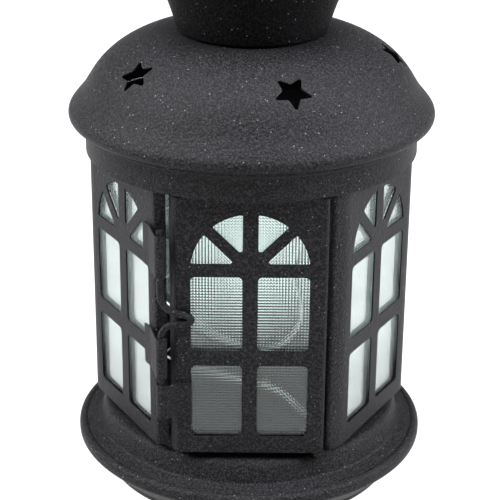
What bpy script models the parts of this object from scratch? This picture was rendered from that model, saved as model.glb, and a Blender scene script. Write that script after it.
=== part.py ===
"""Solar garden lantern: a round pressed base, a six-sided window body with a hinged front door
and a lift-bolt latch, a domed roof with stamped stars, and a solar light unit in a flared cup.

Metres, +Z up. The origin is on the ground under the centre of the base; the door faces -Y.
"""
import math

import bmesh
import bpy
import numpy as np
from mathutils import Matrix, Vector

MM = 0.001

# ---------------------------------------------------------------- driving dimensions (mm)
SHEET = 0.6               # pressed steel sheet
GAP = 0.3                 # air left between pieces that touch
ROUND_STEPS = 40          # facets round the large turned shells

BASE_R = 70.0             # rolled rim of the base
BASE_FOOT_R = 58.0        # ring that stands on the ground
BASE_RIM_Z = 15.0
PLATEAU_R = 59.0
PLATEAU_Z = 26.5

BODY_APOTHEM = 56.0       # centre to a panel's outer face
CORNER_R = 14.0           # outer radius of the body's upright corners
BODY_BOTTOM = 29.7
BODY_TOP = 136.0

PANE_HALF = 21.75         # half width of a pair of panes
BAR_HALF = 2.8            # half width of the upright bar
SPOKE_HALF = 2.1          # half width of a fan spoke
LOWER_PANES = (36.6, 66.5)
MIDDLE_PANES = (72.6, 102.4)
FAN_SPRING = 107.5        # lower edge of the fan
FAN_CENTRE = 105.1        # where its spokes meet
PANE_CORNER_R = 1.8

DOOR_FACE = 57.0          # centre to the door's outer face
DOOR_TOP = 133.1
HINGE_X = 26.6            # door's pin axis
HINGE_ROLL_R = 1.4        # middle radius of the rolled door edge
DOOR_LEFT_X = -26.3       # where the free edge starts to bend back

GLASS_T = 1.6
GLASS_HALF = 24.0
GLASS_BOTTOM = 33.0
GLASS_TOP = 130.0

WIRE_R = 1.25             # latch wire
LATCH_X, LATCH_Y = -32.6, -58.4
STRAP = 0.5               # sheet of the knuckles and the door tab
ROLL_R = 1.85             # middle radius of a roll round the latch wire
UPPER_KNUCKLE = (102.9, 119.5)
LOWER_KNUCKLE = (62.2, 78.5)
TAB_HEIGHTS = (46.0, 59.5)
WIRE_TOP, WIRE_BOTTOM = 121.0, 51.0

ROOF_R = 70.0
ROOF_RIM_Z = 148.8
SKIRT_R = 63.8
SKIRT_BOTTOM = 134.0
STAR_R, STAR_INNER, STAR_TIP = 7.9, 0.47, 0.7
STAR_PLACE_R, STAR_PLACE_Z = 53.4, 170.7
STAR_SLOPE = math.radians(35.0)
STAR_AZIMUTHS = (15.5, 87.5, 160.0, 233.0, 308.5)   # hand punched, so not quite even

CUP_TOP = 203.0
CUP_BOTTOM = 180.0
HOUSING_R = 28.0
CUP_RIVET_X = 24.9

LED_WIRE_R = 0.45
LED_EXIT = (0.0, -14.0)   # where the light string leaves the solar unit
BEAD_R = 1.2

# name: colour, roughness, metallic, alpha
FINISHES = {
    "black_powder_coat": ((0.035, 0.033, 0.037), 0.55, 0.2, 1.0),
    "black_inside": ((0.025, 0.025, 0.026), 0.7, 0.1, 1.0),
    "patterned_glass": ((0.78, 0.90, 0.86), 0.15, 0.0, 0.35),
    "bright_steel": ((0.62, 0.62, 0.60), 0.3, 1.0, 1.0),
    "black_plastic": ((0.03, 0.03, 0.032), 0.4, 0.0, 1.0),
    "solar_cell": ((0.02, 0.03, 0.09), 0.2, 0.3, 1.0),
    "clear_cover": ((0.9, 0.92, 0.93), 0.08, 0.0, 0.3),
    "rubber": ((0.02, 0.02, 0.02), 0.8, 0.0, 1.0),
    "green_board": ((0.03, 0.16, 0.07), 0.5, 0.0, 1.0),
    "battery_wrap": ((0.10, 0.32, 0.16), 0.4, 0.0, 1.0),
    "silver_wire": ((0.70, 0.70, 0.68), 0.3, 1.0, 1.0),
    "led_resin": ((0.95, 0.90, 0.72), 0.2, 0.0, 0.8),
}


# ---------------------------------------------------------------- scene and materials
def clear_scene():
    for item in list(bpy.data.objects):
        bpy.data.objects.remove(item, do_unlink=True)


def make_collection(name):
    collection = bpy.data.collections.new(name)
    bpy.context.scene.collection.children.link(collection)
    return collection


def make_materials():
    made = {}
    for name, (colour, roughness, metallic, alpha) in FINISHES.items():
        material = bpy.data.materials.new(name)
        material.use_nodes = True
        shader = material.node_tree.nodes["Principled BSDF"]
        shader.inputs["Base Color"].default_value = (*colour, 1.0)
        shader.inputs["Roughness"].default_value = roughness
        shader.inputs["Metallic"].default_value = metallic
        shader.inputs["Alpha"].default_value = alpha
        made[name] = material
    return made


clear_scene()
PARTS = make_collection("solar_garden_lantern")
CUTTERS = make_collection("lantern_cutters")
MATERIALS = make_materials()


def add_object(name, mesh, finish, smooth=30.0):
    """A mesh as a named piece; smooth is the angle in degrees above which an edge stays sharp."""
    piece = bpy.data.objects.new(name, mesh)
    PARTS.objects.link(piece)
    piece.data.materials.clear()
    piece.data.materials.append(MATERIALS[finish])
    if isinstance(mesh, bpy.types.Mesh):
        mesh.shade_smooth()
        mesh.set_sharp_from_angle(angle=math.radians(smooth))
    return piece


def cut(piece, cutter, operation="DIFFERENCE"):
    modifier = piece.modifiers.new(cutter.name, "BOOLEAN")
    modifier.operation = operation
    modifier.solver = "EXACT"
    modifier.object = cutter
    return modifier


def as_cutter(piece):
    for owner in list(piece.users_collection):
        owner.objects.unlink(piece)
    CUTTERS.objects.link(piece)
    piece.hide_render = True
    piece.display_type = "WIRE"
    return piece


# ---------------------------------------------------------------- outlines
def arc_points(centre, radius, start, end, count):
    """Points on an arc from start to end, in degrees."""
    return [
        (centre[0] + radius * math.cos(a), centre[1] + radius * math.sin(a))
        for a in np.radians(np.linspace(start, end, count))
    ]


def rounded(corners, radius, steps=3):
    """A closed outline with each corner replaced by an arc of the radius."""
    outline = []
    count = len(corners)
    for i, corner in enumerate(corners):
        here = Vector(corner)
        before = (Vector(corners[i - 1]) - here).normalized()
        after = (Vector(corners[(i + 1) % count]) - here).normalized()
        half = before.angle(after) / 2
        if half > math.radians(85):
            outline.append(tuple(here))
            continue
        reach = radius / math.tan(half)
        centre = here + (before + after).normalized() * radius / math.sin(half)
        first = here + before * reach - centre
        last = here + after * reach - centre
        for k in range(steps + 1):
            spoke = first.slerp(last, k / steps) if k else first
            outline.append(tuple(centre + spoke.normalized() * radius))
    return outline


def fan_sector(start, end):
    """One opening of the round fan, between two spokes at start and end degrees."""
    low = math.radians(start)
    high = math.radians(end)
    sill = FAN_SPRING - FAN_CENTRE
    low_bar = SPOKE_HALF if start != 0 else sill
    high_bar = SPOKE_HALF if end != 180 else sill
    low_bar = BAR_HALF if start == 90 else low_bar
    high_bar = BAR_HALF if end == 90 else high_bar
    # the edges run parallel to the spokes' middle lines, half a bar away
    lines = np.array([[-math.sin(low), math.cos(low)], [-math.sin(high), math.cos(high)]])
    inner = np.linalg.solve(lines, [low_bar, -high_bar])
    first = start + math.degrees(math.asin(low_bar / PANE_HALF))
    last = end - math.degrees(math.asin(high_bar / PANE_HALF))
    rim = arc_points((0.0, 0.0), PANE_HALF, first, last, 7)
    corners = [tuple(inner), *rim]
    return [(x, y + FAN_CENTRE) for x, y in soften(corners, 1.0)]


def soften(corners, size):
    """A closed outline with its sharp corners cut back by a small round."""
    outline = []
    count = len(corners)
    for i, corner in enumerate(corners):
        here = Vector(corner)
        before = Vector(corners[i - 1]) - here
        after = Vector(corners[(i + 1) % count]) - here
        if before.angle(after) > math.radians(150):
            outline.append(tuple(here))
            continue
        start = here + before.normalized() * size
        end = here + after.normalized() * size
        outline.append(tuple(start))
        outline.append(tuple(0.25 * start + 0.5 * here + 0.25 * end))
        outline.append(tuple(end))
    return outline


def window_outlines():
    """The eight openings of one window, about its upright centre line."""
    openings = []
    for low, high in (LOWER_PANES, MIDDLE_PANES):
        for side in (-1, 1):
            near, far = side * BAR_HALF, side * PANE_HALF
            left, right = min(near, far), max(near, far)
            corners = [(left, low), (right, low), (right, high), (left, high)]
            openings.append(rounded(corners, PANE_CORNER_R))
    for start in (0, 45, 90, 135):
        openings.append(fan_sector(start, start + 45))
    return openings


def flat_mesh(outlines, thickness, name):
    """A plate in the XY plane from closed outlines, the first being its edge, as a welded mesh."""
    curve = bpy.data.curves.new(name, "CURVE")
    curve.dimensions = "2D"
    curve.fill_mode = "BOTH"
    curve.extrude = thickness / 2 * MM
    for outline in outlines:
        spline = curve.splines.new("POLY")
        spline.points.add(len(outline) - 1)
        for point, (x, y) in zip(spline.points, outline):
            point.co = (x * MM, y * MM, 0.0, 1.0)
        spline.use_cyclic_u = True
    holder = bpy.data.objects.new(name, curve)
    bpy.context.scene.collection.objects.link(holder)
    bpy.context.view_layer.update()
    evaluated = holder.evaluated_get(bpy.context.evaluated_depsgraph_get())
    mesh = bpy.data.meshes.new_from_object(evaluated)
    bpy.data.objects.remove(holder)
    work = bmesh.new()
    work.from_mesh(mesh)
    bmesh.ops.remove_doubles(work, verts=work.verts, dist=1e-6)
    work.to_mesh(mesh)
    work.free()
    return mesh


def plate(name, outlines, thickness, middle_z, finish):
    """A horizontal plate whose middle is at a height."""
    mesh = flat_mesh(outlines, thickness, name)
    mesh.transform(Matrix.Translation((0, 0, middle_z * MM)))
    return add_object(name, mesh, finish)


def upright_plate(name, outlines, thickness, face, middle, finish):
    """A plate standing on the lantern's side: face is the azimuth, middle its distance out."""
    mesh = flat_mesh(outlines, thickness, name)
    turn = Matrix.Rotation(math.radians(face), 4, "Z")
    stand = Matrix.Rotation(math.pi / 2, 4, "X")
    mesh.transform(turn @ Matrix.Translation((0, -middle * MM, 0)) @ stand)
    return add_object(name, mesh, finish)


# ---------------------------------------------------------------- turned pieces
def turned(name, profile, finish, steps=ROUND_STEPS, centre=(0.0, 0.0)):
    """A closed (radius, height) profile spun about an upright axis."""
    mesh = bpy.data.meshes.new(name)
    doubled_area = sum(r0 * z1 - r1 * z0 for (r0, z0), (r1, z1) in
                       zip(profile, profile[1:] + profile[:1]))
    if doubled_area > 0:
        profile = profile[::-1]
    points = [(r * MM, 0.0, z * MM) for r, z in profile]
    count = len(points)
    on_axis = [abs(profile[i][0]) < 1e-9 and abs(profile[(i + 1) % count][0]) < 1e-9
               for i in range(count)]
    edges = [(i, (i + 1) % count) for i in range(count) if not on_axis[i]]
    mesh.from_pydata(points, edges, [])
    piece = add_object(name, mesh, finish)
    piece.location = (centre[0] * MM, centre[1] * MM, 0.0)
    screw = piece.modifiers.new("turn", "SCREW")
    screw.angle = 2 * math.pi
    screw.steps = steps
    screw.render_steps = steps
    screw.use_merge_vertices = True
    screw.merge_threshold = 1e-6
    return piece


def shell(outer, thickness=SHEET):
    """The closed profile of a sheet whose outer face follows the points, from top to bottom."""
    inner = []
    for i, (r, z) in enumerate(outer):
        before = Vector(outer[max(i - 1, 0)])
        after = Vector(outer[min(i + 1, len(outer) - 1)])
        along = (after - before).normalized()
        inner.append((r + along[1] * thickness, z - along[0] * thickness))
    if outer[0][0] == 0.0:
        inner[0] = (0.0, outer[0][1] - thickness)
    return list(outer) + inner[::-1]


def rod(name, radius, low, high, finish, centre=(0.0, 0.0), steps=16):
    profile = [(0, high), (radius, high), (radius, low), (0, low)]
    return turned(name, profile, finish, steps, centre)


# ---------------------------------------------------------------- folded sheet
class PlanPath:
    """The plan of a folded sheet's middle: runs ("line", length) and bends ("bend", radius, degrees).

    A positive angle turns left. The path is placed by one point on it and the heading there.
    """

    def __init__(self, runs, anchor, point, heading):
        self.pieces = []
        self.breaks = [0.0]
        place, angle = Vector((0.0, 0.0)), 0.0
        for run in runs:
            length = run[1] if run[0] == "line" else run[1] * math.radians(abs(run[2]))
            bend = 0.0 if run[0] == "line" else math.copysign(1.0 / run[1], run[2])
            self.pieces.append((self.breaks[-1], length, bend, place.copy(), angle))
            place, angle = self.step(place, angle, bend, length)
            self.breaks.append(self.breaks[-1] + length)
        self.turn, self.shift = 0.0, Vector((0.0, 0.0))
        here, angle = self.locate(anchor)
        self.turn = math.radians(heading) - angle
        here, angle = self.locate(anchor)
        self.shift = Vector(point) - here

    @staticmethod
    def step(place, angle, bend, length):
        if bend == 0.0:
            return place + Vector((math.cos(angle), math.sin(angle))) * length, angle
        after = angle + bend * length
        move = Vector((math.sin(after) - math.sin(angle), math.cos(angle) - math.cos(after)))
        return place + move / bend, after

    def locate(self, s):
        start, length, bend, place, angle = self.pieces[0]
        for piece in self.pieces:
            if s >= piece[0] - 1e-9:
                start, length, bend, place, angle = piece
        place, angle = self.step(place, angle, bend, s - start)
        turned_place = Matrix.Rotation(self.turn, 2) @ place
        return turned_place + self.shift, angle + self.turn

    def fold_lines(self, degrees=12.0):
        """Distances along the path where the sheet needs an edge."""
        lines = []
        for start, length, bend, _, _ in self.pieces:
            if bend:
                steps = max(1, math.ceil(math.degrees(abs(bend) * length) / degrees))
                lines += list(np.linspace(start, start + length, steps + 1))
        ends = (self.breaks[0], self.breaks[-1])
        return sorted({round(s, 6) for s in lines if min(abs(s - e) for e in ends) > 1e-4})


def folded(name, path, low, high, finish, openings=(), thickness=SHEET, degrees=12.0):
    """A sheet cut flat with its openings, then folded along the path. Heights are low and high."""
    length = path.breaks[-1]
    edge = [(0, low), (length, low), (length, high), (0, high)]
    mesh = flat_mesh([edge, *openings], thickness, name)
    work = bmesh.new()
    work.from_mesh(mesh)
    for s in path.fold_lines(degrees):
        bmesh.ops.bisect_plane(
            work, geom=work.verts[:] + work.edges[:] + work.faces[:], dist=1e-7,
            plane_co=(s * MM, 0, 0), plane_no=(1, 0, 0),
        )
    for vertex in work.verts:
        s, height, offset = (value / MM for value in vertex.co)
        place, angle = path.locate(min(max(s, 0.0), length))
        out = Vector((-math.sin(angle), math.cos(angle)))
        place = place + out * offset
        vertex.co = (place.x * MM, place.y * MM, height * MM)
    bmesh.ops.recalc_face_normals(work, faces=work.faces)
    work.to_mesh(mesh)
    work.free()
    return add_object(name, mesh, finish)


# ---------------------------------------------------------------- base
def build_base():
    outer = [
        (0.0, PLATEAU_Z), (PLATEAU_R - 3.4, PLATEAU_Z), (PLATEAU_R - 1.2, PLATEAU_Z - 0.9),
        (PLATEAU_R, PLATEAU_Z - 3.5), (PLATEAU_R + 2.5, PLATEAU_Z - 8.4),
        (BASE_R - 3.3, BASE_RIM_Z + 2.5), (BASE_R - 1.1, BASE_RIM_Z + 1.9), (BASE_R, BASE_RIM_Z),
        (BASE_R - 0.9, BASE_RIM_Z - 2.8), (BASE_FOOT_R + 1.3, 2.6), (BASE_FOOT_R + 0.5, 0.6),
        (BASE_FOOT_R, 0.0), (BASE_FOOT_R - 4.0, 0.0),
    ]
    turned("base_pan", shell(outer, 0.8), "black_powder_coat")


def hexagon(apothem, radius, steps=4):
    corner = apothem / math.cos(math.radians(30))
    return rounded(arc_points((0, 0), corner, 0, 300, 6), radius, steps)


def build_floor_tray():
    """A shallow six-sided tray that stands on the base and carries the body."""
    apothem, corner, wall = 51.2, 9.0, 0.6
    low, floor, high = PLATEAU_Z + GAP, PLATEAU_Z + GAP + 0.7, GLASS_BOTTOM
    tray = plate("floor_tray", [hexagon(apothem, corner)], high - low, (low + high) / 2,
                 "black_powder_coat")
    hollow = plate("tray_hollow", [hexagon(apothem - wall, corner - wall)], high - floor + 2,
                   (floor + high + 2) / 2, "black_inside")
    cut(tray, as_cutter(hollow))


def build_top_ring():
    """The flanged ring on the body's top edge, inside the roof's skirt."""
    low = BODY_TOP + GAP
    flange = [(46.0, low - 4.0), (46.0, low + 0.8), (62.9, low + 0.8), (62.9, low),
              (46.8, low), (46.8, low - 4.0)]
    turned("body_top_ring", flange, "black_powder_coat")


# ---------------------------------------------------------------- body
FLAT = 2 * (BODY_APOTHEM - CORNER_R) * math.tan(math.radians(30))
CORNER = CORNER_R - SHEET / 2
FIXED_FACES = (-60, -120, 180, 120, 60)
LEFT_CORNER_LEFT, RIGHT_CORNER_LEFT = 8.0, 31.0   # degrees of the front corners that remain
JAMB, JAMB_BEND = 3.2, 58.0          # flange behind the door's free edge
RETURN = 1.6              # return flange beside the hinge


def build_body_shell():
    """One sheet folded round five sides, with a return flange on each side of the door."""
    runs = [("line", JAMB), ("bend", 1.2, -JAMB_BEND), ("bend", CORNER, -LEFT_CORNER_LEFT)]
    for side in range(5):
        runs.append(("line", FLAT))
        runs.append(("bend", CORNER, -60.0 if side < 4 else -RIGHT_CORNER_LEFT))
    runs += [("bend", 1.2, -90), ("line", RETURN)]
    lead = JAMB + 1.2 * math.radians(JAMB_BEND) + CORNER * math.radians(LEFT_CORNER_LEFT)
    pitch = FLAT + CORNER * math.radians(60)
    middles = [lead + FLAT / 2 + pitch * side for side in range(5)]
    path = PlanPath(runs, middles[2], (0.0, BODY_APOTHEM - SHEET / 2), 0.0)
    openings = [[(x + s, z) for x, z in outline] for s in middles for outline in window_outlines()]
    folded("body_shell", path, BODY_BOTTOM, BODY_TOP, "black_powder_coat", openings, degrees=15)


def glass_and_holders(label, face, inside, finish="patterned_glass"):
    """A pane behind a window, and the two tabbed strips that hold it; inside is the sheet's back."""
    near = inside - GAP
    back = near - GLASS_T - GAP
    edge = [(-GLASS_HALF, GLASS_BOTTOM), (GLASS_HALF, GLASS_BOTTOM),
            (GLASS_HALF, GLASS_TOP), (-GLASS_HALF, GLASS_TOP)]
    upright_plate(f"{label}_glass", [edge], GLASS_T, face, near - GLASS_T / 2, finish)
    half, ear = GLASS_HALF - 0.5, 19.2
    ledge = near - back + STRAP / 2
    inset = 0.4
    low = [(-half, 31.2), (half, 31.2), (half, 41.0), (ear, 41.0), (ear, 36.0),
           (-ear, 36.0), (-ear, 41.0), (-half, 41.0)]
    high = [(-half, 131.5), (-half, 126.0), (-ear + 2, 126.0), (-ear + 2, 129.9),
            (ear - 2, 129.9), (ear - 2, 126.0), (half, 126.0), (half, 131.5)]
    for name, outline, z0, z1 in (("bottom", low, 31.6, 32.7), ("top", high, 130.3, 131.1)):
        strip = upright_plate(f"{label}_{name}_holder", [outline], STRAP, face,
                              back - STRAP / 2, "black_inside")
        side = half - inset
        strip_edge = [(-side, z0), (side, z0), (side, z1), (-side, z1)]
        shelf = upright_plate(f"{label}_{name}_shelf", [strip_edge], ledge, face,
                              near - ledge / 2, "black_inside")
        cut(strip, as_cutter(shelf), "UNION")


PANEL_NAMES = ("left_front", "left_back", "back", "right_back", "right_front")


def build_fixed_windows():
    for label, face in zip(PANEL_NAMES, FIXED_FACES):
        glass_and_holders(label, face, BODY_APOTHEM - SHEET)


# ---------------------------------------------------------------- door
HINGE_Y = -(DOOR_FACE - SHEET / 2 - HINGE_ROLL_R)


def build_door():
    """The front sheet: rolled round the pins at one edge and bent back at the other."""
    roll = math.radians(280) * HINGE_ROLL_R
    flat = HINGE_X - DOOR_LEFT_X
    runs = [("bend", HINGE_ROLL_R, -280), ("line", flat), ("bend", 1.5, -70), ("line", 4.5)]
    path = PlanPath(runs, roll, (HINGE_X, HINGE_Y - HINGE_ROLL_R), 180.0)
    middle = roll + HINGE_X
    openings = [[(middle - x, z) for x, z in outline][::-1] for outline in window_outlines()]
    folded("door_frame", path, BODY_BOTTOM, DOOR_TOP, "black_powder_coat", openings, degrees=35)
    glass_and_holders("door", 0, DOOR_FACE - SHEET)


def build_hinges():
    """Two upright pins in small plates, entering the rolled door edge from below and above."""
    pin_r = 0.75
    hole = arc_points((HINGE_X, HINGE_Y), pin_r + GAP, 0, 330, 12)
    for name, middle, low, high, right, front, back in (
        ("lower", BODY_BOTTOM - GAP - 0.5, 27.6, 38.0, 31.5, -57.5, -52.7),
        ("upper", DOOR_TOP + 0.9, 123.5, 134.9, 28.1, -56.8, -49.0),
    ):
        edge = rounded([(24.6, front), (right, front), (right, back), (24.6, back)], 1.2, 2)
        plate(f"{name}_hinge_plate", [edge, hole], 1.0, middle, "black_powder_coat")
        rod(f"{name}_hinge_pin", pin_r, low, high, "bright_steel", (HINGE_X, HINGE_Y), 12)


# ---------------------------------------------------------------- latch
def build_knuckles():
    """Two straps on the left front panel, rolled at the corner round the latch wire."""
    lean = 15.4
    strap_out = BODY_APOTHEM + GAP + STRAP / 2
    heading = math.radians(-60 - lean)
    left = Vector((-math.sin(heading), math.cos(heading)))
    tangent = Vector((LATCH_X, LATCH_Y)) - left * ROLL_R
    face = Vector((-math.cos(math.radians(30)), -math.sin(math.radians(30))))
    reach = (tangent.dot(face) - strap_out) / math.sin(math.radians(lean))
    bend = 2.0
    free = reach - bend * math.tan(math.radians(lean / 2))
    runs = [("line", 4.5), ("bend", bend, -lean), ("line", free), ("bend", ROLL_R, 300)]
    anchor = 4.5 + bend * math.radians(lean) + free
    path = PlanPath(runs, anchor, tuple(tangent), -60 - lean)
    for name, (low, high) in (("upper", UPPER_KNUCKLE), ("lower", LOWER_KNUCKLE)):
        folded(f"{name}_latch_knuckle", path, low, high, "black_powder_coat",
               thickness=STRAP, degrees=25)


def build_latch_tab():
    """The strap on the door that the wire drops into."""
    strap_y = -(DOOR_FACE + GAP + STRAP / 2)
    front_y = LATCH_Y - ROLL_R
    bend = 0.8
    rise = strap_y - front_y
    slope = (rise - 2 * bend * (1 - math.cos(math.radians(45)))) / math.sin(math.radians(45))
    sideways = 2 * bend * math.sin(math.radians(45)) + slope * math.cos(math.radians(45))
    joggle_x = -27.0
    after = (joggle_x - sideways) - LATCH_X
    runs = [("line", 5.5), ("bend", bend, 45), ("line", slope), ("bend", bend, -45),
            ("line", after), ("bend", ROLL_R, -215)]
    path = PlanPath(runs, 5.5, (joggle_x, strap_y), 180.0)
    folded("latch_tab", path, *TAB_HEIGHTS, "black_powder_coat", thickness=STRAP, degrees=25)


def build_latch_wire():
    """A round wire: straight through the knuckles, with a pointed thumb loop between them."""
    route = [
        (0.0, WIRE_TOP), (0.0, 108.0), (0.0, 95.0), (0.6, 92.8), (2.3, 90.4), (4.8, 88.9),
        (8.0, 87.9), (10.3, 86.9), (11.3, 85.8), (10.3, 84.7), (8.0, 84.2), (5.0, 84.0),
        (2.5, 83.2), (0.6, 81.0), (0.0, 78.8), (0.0, 65.0), (0.0, WIRE_BOTTOM),
    ]
    curve = bpy.data.curves.new("latch_wire", "CURVE")
    curve.dimensions = "3D"
    curve.bevel_depth = WIRE_R * MM
    curve.bevel_resolution = 2
    curve.use_fill_caps = True
    spline = curve.splines.new("POLY")
    spline.points.add(len(route) - 1)
    for point, (x, z) in zip(spline.points, route):
        point.co = ((LATCH_X + x) * MM, LATCH_Y * MM, z * MM, 1.0)
    piece = bpy.data.objects.new("latch_wire", curve)
    PARTS.objects.link(piece)
    curve.materials.append(MATERIALS["black_powder_coat"])


# ---------------------------------------------------------------- roof
def star_outline(radius):
    points = []
    for k in range(10):
        reach = radius if k % 2 == 0 else STAR_INNER * radius
        angle = math.radians(90 + 36 * k)
        points.append((reach * math.cos(angle), reach * math.sin(angle)))
    return rounded(points, STAR_TIP, 2)


def build_roof():
    outer = [
        (22.0, 179.6), (29.0, 179.4), (34.5, 178.9), (40.3, 177.5), (46.7, 174.9), (51.7, 171.9),
        (55.5, 168.9), (58.4, 166.0), (61.7, 161.5), (64.5, 157.0), (66.6, 154.4),
        (69.0, 151.4), (ROOF_R, ROOF_RIM_Z), (69.2, 146.8), (66.4, 146.0),
    ]
    dome = turned("roof_dome", shell(outer), "black_powder_coat")
    for number, azimuth in enumerate(STAR_AZIMUTHS, 1):
        mesh = flat_mesh([star_outline(STAR_R)], 9.0, f"star_cutter_{number}")
        # the star's +Y points down the slope, and its plate lies square to the roof there
        tilt = Matrix.Rotation(STAR_SLOPE, 4, "X") @ Matrix.Rotation(math.pi, 4, "Z")
        place = Matrix.Translation((0, -STAR_PLACE_R * MM, STAR_PLACE_Z * MM))
        mesh.transform(Matrix.Rotation(math.radians(azimuth), 4, "Z") @ place @ tilt)
        star = add_object(f"star_cutter_{number}", mesh, "black_inside")
        cut(dome, as_cutter(star))
    skirt = [
        (61.6, 145.6), (65.2, 145.6), (65.6, 144.9), (SKIRT_R + 0.6, 143.8),
        (SKIRT_R, 142.8), (SKIRT_R, SKIRT_BOTTOM),
    ]
    turned("roof_skirt", shell(skirt), "black_powder_coat")


# ---------------------------------------------------------------- cup
def build_cup():
    """The flared cup on the roof, held by two rivets through its inner flange."""
    outer = [
        (38.2, CUP_TOP), (38.3, 202.3), (36.4, 200.6), (34.7, 197.4), (33.2, 194.2),
        (31.9, 191.0), (30.7, 187.6), (29.7, 184.4), (28.6, 181.0), (27.8, CUP_BOTTOM),
        (23.0, CUP_BOTTOM),
    ]
    cup = turned("solar_cup", shell(outer), "black_powder_coat")
    top, bottom = CUP_BOTTOM + SHEET + GAP, 178.6
    for side, label in ((-1, "left"), (1, "right")):
        place = (side * CUP_RIVET_X, 0.0)
        hole = as_cutter(rod(f"{label}_rivet_cutter", 1.3, 174, 184, "black_inside", place, 12))
        cut(cup, hole)
        cut(bpy.data.objects["roof_dome"], hole)
        rivet = [(0, top + 0.6), (1.0, top + 0.5), (1.7, top), (1.0, top), (1.0, bottom),
                 (1.6, bottom), (1.0, bottom - 0.5), (0, bottom - 0.6)]
        turned(f"{label}_cup_rivet", rivet, "bright_steel", 12, place)


# ---------------------------------------------------------------- solar unit
def build_solar_unit():
    floor, seat = 202.9, 203.4
    housing = [
        (0, floor), (32.0, floor), (32.0, 205.2), (38.4, 205.2), (38.8, 204.6), (38.6, seat),
        (29.0, seat - 1.2), (HOUSING_R, 201.0), (HOUSING_R, 185.0), (26.6, 185.0),
        (26.6, 201.6), (0, 201.6),
    ]
    turned("solar_housing", housing, "black_plastic")
    half = 20.5
    cell = rounded([(-half, -half), (half, -half), (half, half), (-half, half)], 1.5)
    plate("solar_cell", [cell], 0.9, 203.65, "solar_cell")
    seal = [arc_points((0, 0), 31.6, 0, 350, 36), arc_points((0, 0), 29.6, 0, 350, 36)]
    plate("cover_seal", seal, 0.9, 203.65, "rubber")
    cover = [(0, 206.4), (16.0, 206.1), (27.0, 205.6), (30.8, 205.2), (31.6, 204.6),
             (31.6, 204.4), (0, 204.4)]
    turned("solar_cover", cover, "clear_cover")
    board = rounded([(-15, -15), (15, -15), (15, 15), (-15, 15)], 1.5)
    plate("circuit_board", [board], 1.2, 200.5, "green_board")


def build_battery():
    r = 6.9
    profile = [(0, 25.0), (2.6, 25.0), (2.6, 24.0), (r, 24.0), (r, -24.2), (0, -24.2)]
    cell = turned("battery", profile, "battery_wrap", 24)
    cell.location = (0.0, 0.0, 192.6 * MM)
    cell.rotation_euler = (0.0, math.pi / 2, 0.0)
    for side, label in ((-1, "negative"), (1, "positive")):
        outline = [(-4, 187.0), (4, 187.0), (4, 198.0), (-4, 198.0)]
        x = 25.6 if side > 0 else 24.8
        upright_plate(f"{label}_contact", [outline], 0.4, 90 * side, x, "bright_steel")


DOOR_Z = (183.2, 184.7)   # battery cover's lower and upper faces
SWITCH_Y = 16.0
SWITCH_REST = -1.5
SCREW_X = 16.0
SCREW_Y = 12.0


def build_battery_cover():
    low, high = DOOR_Z
    edge = arc_points((0, 0), 27.2, 0, 350, 36)
    slot = [(-3.4, SWITCH_Y - 1.7), (3.4, SWITCH_Y - 1.7), (3.4, SWITCH_Y + 1.7),
            (-3.4, SWITCH_Y + 1.7)]
    outlet = arc_points(LED_EXIT, 2.0, 0, 337.5, 16)
    holes = [arc_points((side * SCREW_X, -SCREW_Y), 1.5, 0, 330, 12) for side in (-1, 1)]
    plate("battery_cover", [edge, slot, outlet, *holes], high - low, (low + high) / 2,
          "black_plastic")
    for side, label in ((-1, "left"), (1, "right")):
        profile = [(0, 186.2), (1.1, 186.2), (1.1, low - GAP), (2.2, low - GAP),
                   (2.3, low - GAP - 0.6), (1.4, low - GAP - 1.1), (0, low - GAP - 1.2)]
        turned(f"{label}_cover_screw", profile, "bright_steel", 12,
               (side * SCREW_X, -SCREW_Y))
    grommet = [(1.6, high + GAP), (2.6, high + GAP), (2.9, high + GAP + 0.6),
               (1.4, high + GAP + 1.0), (0.8, high + GAP + 0.6), (0.8, low - 2.2),
               (1.3, low - 2.2), (1.6, low)]
    turned("cable_grommet", grommet, "rubber", 12, LED_EXIT)


def build_switch():
    """A sliding button: a nub through the cover's slot under a wider foot."""
    low, high = DOOR_Z
    nub = [(-1.5, -1.3), (1.5, -1.3), (1.5, 1.3), (-1.5, 1.3)]
    foot = [(-4.0, -3.0), (4.0, -3.0), (4.0, 3.0), (-4.0, 3.0)]
    shift = [(x + SWITCH_REST, y + SWITCH_Y) for x, y in rounded(nub, 0.3, 1)]
    base = [(x + SWITCH_REST, y + SWITCH_Y) for x, y in foot]
    button = plate("power_switch", [base], 1.2, high + GAP + 0.6, "black_plastic")
    stem = plate("switch_stem", [shift], 3.6, high + GAP + 0.2 - 1.8, "black_plastic")
    cut(button, as_cutter(stem), "UNION")


# ---------------------------------------------------------------- light string
# the string's own course, from the grommet down through the roof and round inside the body
LED_ROUTE = [
    (0, -14, 181.2), (0.5, -14.6, 172), (3, -18, 160), (9, -26, 146), (19, -32, 134),
    (31, -30, 124), (41, -16, 118), (44, 2, 113), (38, 22, 110), (22, 38, 107), (2, 44, 103),
    (-20, 40, 99), (-37, 25, 95), (-45, 4, 91), (-41, -18, 86), (-29, -36, 80), (-12, -46, 73),
    (2, -49, 70), (10.5, -49.5, 71.3), (16.2, -49.5, 76), (19.2, -49.5, 83), (18.8, -49.5, 90),
    (16.6, -48.8, 97.5), (17, -45, 104.5), (24, -37, 109), (36, -22, 106), (43, 0, 98),
    (38, 22, 90), (22, 38, 83), (0, 44, 77), (-22, 38, 70), (-38, 20, 65), (-44, -2, 61),
    (-39, -22, 58), (-26, -37, 57), (-10, -46.5, 57), (4, -49.5, 55.2), (13, -49.5, 51.2),
    (21.5, -48, 42.6), (31, -38, 38), (40, -20, 37), (43, 0, 37), (37, 22, 36), (20, 38, 34),
    (-2, 43, 33.5), (-24, 36, 33), (-38, 18, 32), (-40, 2, 31),
]
LED_POINTS = 150
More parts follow.
